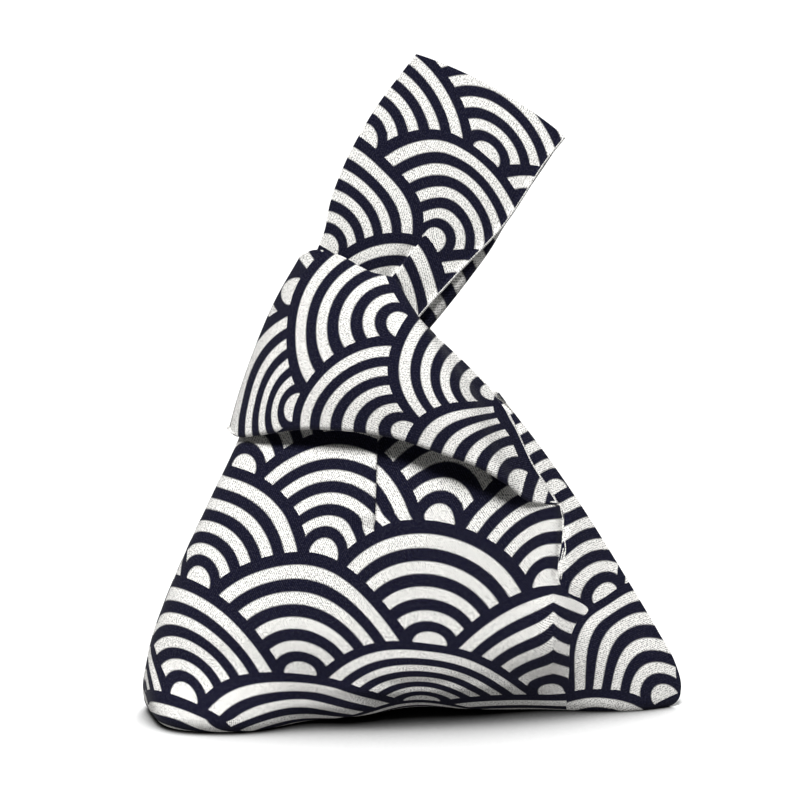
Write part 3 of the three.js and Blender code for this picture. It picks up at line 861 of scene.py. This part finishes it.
def long_loop():
    front, back = front_strap(), back_strap()
    for piece in (front, back):
        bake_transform(piece)
    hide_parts("long_loop_front", "long_loop_front_lining", "throat_front", "throat_front_lining",
                "long_loop_knuckle", "long_loop_end_seam")
    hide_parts("long_loop_back", "long_loop_back_lining", "throat_back", "throat_back_lining")


long_loop()

# Stage, in metres: paper that shows white, bounces little light and has painted shade close under the bag
FLOOR_HALF = 6.0
PAPER_LIGHT, PAPER_DARK, PAPER_BOUNCE, PAPER_PAINTED_SHADE = 0.93, 0.91, 0.24, 0.03
MOTTLE_SCALE, MOTTLE_DETAIL = 5.0, 2.0
CREVICE_REACH, CREVICE_OPENNESS = 0.1, (0.25, 0.85)
PAPER_LIFT = 0.12

# Lights
WORLD_LIGHT = 0.07
SOFTBOX_ANGLE = math.radians(20)
FRONT_LIGHT, FRONT_DIRECTION = 4.2, (0.10, 0.62, -0.78)
BACK_LIGHT, BACK_DIRECTION = 1.2, (-0.15, -0.75, -0.6)


def grey(value):
    return (value, value, value, 1)


def paper():
    """Pale paper that the camera sees as white, with painted shade where something stands on it."""
    material, n = new_material("paper")
    mottle = n.noise(n.add("ShaderNodeTexCoord").outputs["Object"], MOTTLE_SCALE, MOTTLE_DETAIL)
    rays = n.add("ShaderNodeLightPath").outputs
    seen = n.maths("MAXIMUM", rays["Is Camera Ray"], rays["Is Glossy Ray"])
    seen = n.maths("MAXIMUM", seen, rays["Is Transmission Ray"])
    # Painted shade: where ambient occlusion finds the bag close by, the paper's colour darkens and its lift
    # fades
    openness = n.add("ShaderNodeAmbientOcclusion", {"Distance": CREVICE_REACH}).outputs["AO"]
    span = {0: openness, 1: CREVICE_OPENNESS[0], 2: CREVICE_OPENNESS[1]}
    open_share = n.add("ShaderNodeMapRange", span, interpolation_type="SMOOTHSTEP").outputs[0]
    white = n.mix(mottle, grey(PAPER_LIGHT), grey(PAPER_DARK))
    white = n.mix(open_share, grey(PAPER_PAINTED_SHADE), white)
    colour = n.mix(seen, grey(PAPER_BOUNCE), white)
    diffuse = n.add("ShaderNodeBsdfDiffuse", {"Color": colour})
    strength = n.maths("MULTIPLY", n.maths("MULTIPLY", seen, open_share), PAPER_LIFT)
    lift = n.add("ShaderNodeEmission", {"Color": grey(1), "Strength": strength})
    both = n.add("ShaderNodeAddShader", {0: diffuse.outputs[0], 1: lift.outputs[0]})
    n.add("ShaderNodeOutputMaterial", {0: both.outputs[0]})
    return material


def floor():
    mesh = bpy.data.meshes.new("floor")
    corners = [(-1, -1), (1, -1), (1, 1), (-1, 1)]
    mesh.from_pydata([(x * FLOOR_HALF, y * FLOOR_HALF, 0) for x, y in corners], [], [(0, 1, 2, 3)])
    mesh.materials.append(paper())
    piece = bpy.data.objects.new("floor", mesh)
    bpy.context.collection.objects.link(piece)


def lights():
    world = bpy.data.worlds.new("studio")
    bpy.context.scene.world = world
    world.use_nodes = True
    background = world.node_tree.nodes["Background"].inputs
    background["Color"].default_value = grey(1)
    background["Strength"].default_value = WORLD_LIGHT
    softbox("softbox", FRONT_LIGHT, FRONT_DIRECTION)
    softbox("softbox_behind", BACK_LIGHT, BACK_DIRECTION)


def softbox(name, energy, direction):
    """Large soft light from far away, shining in a direction."""
    sun = bpy.data.lights.new(name, "SUN")
    sun.energy = energy
    sun.angle = SOFTBOX_ANGLE
    lamp = bpy.data.objects.new(name, sun)
    bpy.context.collection.objects.link(lamp)
    lamp.rotation_mode = "QUATERNION"
    lamp.rotation_quaternion = Vector(direction).to_track_quat("-Z", "Y")


def camera():
    data = bpy.data.cameras.new("camera")
    data.sensor_width = SENSOR
    data.lens = SENSOR * FOCAL_PX / IMAGE
    data.clip_start, data.clip_end = CLIP
    piece = bpy.data.objects.new("camera", data)
    bpy.context.collection.objects.link(piece)
    piece.location = (TARGET + ORIGIN + DISTANCE * np.array([0, -COS_DOWN, SIN_DOWN])) * MM
    piece.rotation_euler = (math.pi / 2 - ELEVATION, 0, 0)
    bpy.context.scene.camera = piece


floor()
lights()
camera()
bpy.context.scene.view_settings.view_transform = "Standard"
